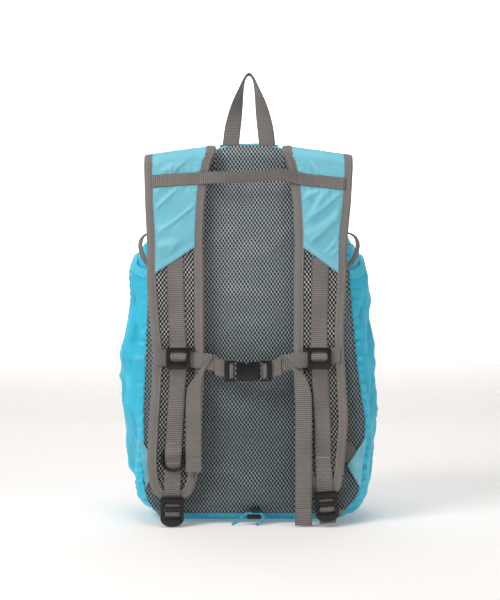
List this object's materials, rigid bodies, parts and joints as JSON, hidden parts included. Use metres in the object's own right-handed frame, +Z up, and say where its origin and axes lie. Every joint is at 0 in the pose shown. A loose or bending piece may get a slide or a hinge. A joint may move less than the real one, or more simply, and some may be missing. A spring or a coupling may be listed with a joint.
{
  "type": "backpack",
  "caption": "Light nylon daypack: zipped hollow bag, padded mesh back, two curved shoulder straps with a buckled chest strap, side pockets and a haul loop.",
  "frame": {"origin": "centre of the base, on the floor", "axes": "+Z up, -Y towards the wearer (the harness side), +X to the right as the harness side is seen"},
  "size_m": [0.3194, 0.1993, 0.5482],
  "materials": {
    "nylon_blue": "satin ripstop nylon",
    "spacer_mesh": "matte open mesh",
    "webbing_gray": "matte woven",
    "plastic_black": "satin moulded",
    "zip_black": "matte coil zip",
    "cord_blue": "matte braided cord"
  },
  "bodies": {
    "root": {"base_panel": "nylon_blue", "side_panel_left": "nylon_blue", "side_panel_right": "nylon_blue", "top_panel_rear": "nylon_blue", "top_panel_front": "nylon_blue", "front_panel": "nylon_blue", "side_pocket_left": "nylon_blue", "side_pocket_right": "nylon_blue", "pocket_hem_left": "nylon_blue", "pocket_hem_right": "nylon_blue", "yoke_patch_left": "nylon_blue", "yoke_patch_right": "nylon_blue", "hip_wing_left": "nylon_blue", "hip_wing_right": "nylon_blue", "back_panel": "spacer_mesh", "shoulder_pad_left": "spacer_mesh", "shoulder_pad_right": "spacer_mesh", "pad_binding_left": "webbing_gray", "pad_binding_right": "webbing_gray", "strap_webbing_left": "webbing_gray", "strap_webbing_right": "webbing_gray", "adjuster_webbing_left": "webbing_gray", "adjuster_webbing_right": "webbing_gray", "sternum_webbing_left": "webbing_gray", "sternum_webbing_right": "webbing_gray", "sternum_tail_left": "webbing_gray", "sternum_tail_right": "webbing_gray", "yoke_webbing": "webbing_gray", "haul_loop": "webbing_gray", "side_loop_left": "webbing_gray", "side_loop_right": "webbing_gray", "hip_webbing_left": "webbing_gray", "hip_webbing_right": "webbing_gray", "zip_slider_left": "plastic_black", "zip_slider_right": "plastic_black", "ladder_lock_left": "plastic_black", "ladder_lock_right": "plastic_black", "d_ring": "plastic_black", "sternum_slider_left": "plastic_black", "sternum_slider_right": "plastic_black", "buckle_socket": "plastic_black", "buckle_prong": "plastic_black", "cord_lock": "plastic_black", "main_zip": "zip_black", "drawcord": "cord_blue"}
  },
  "joints": []
}
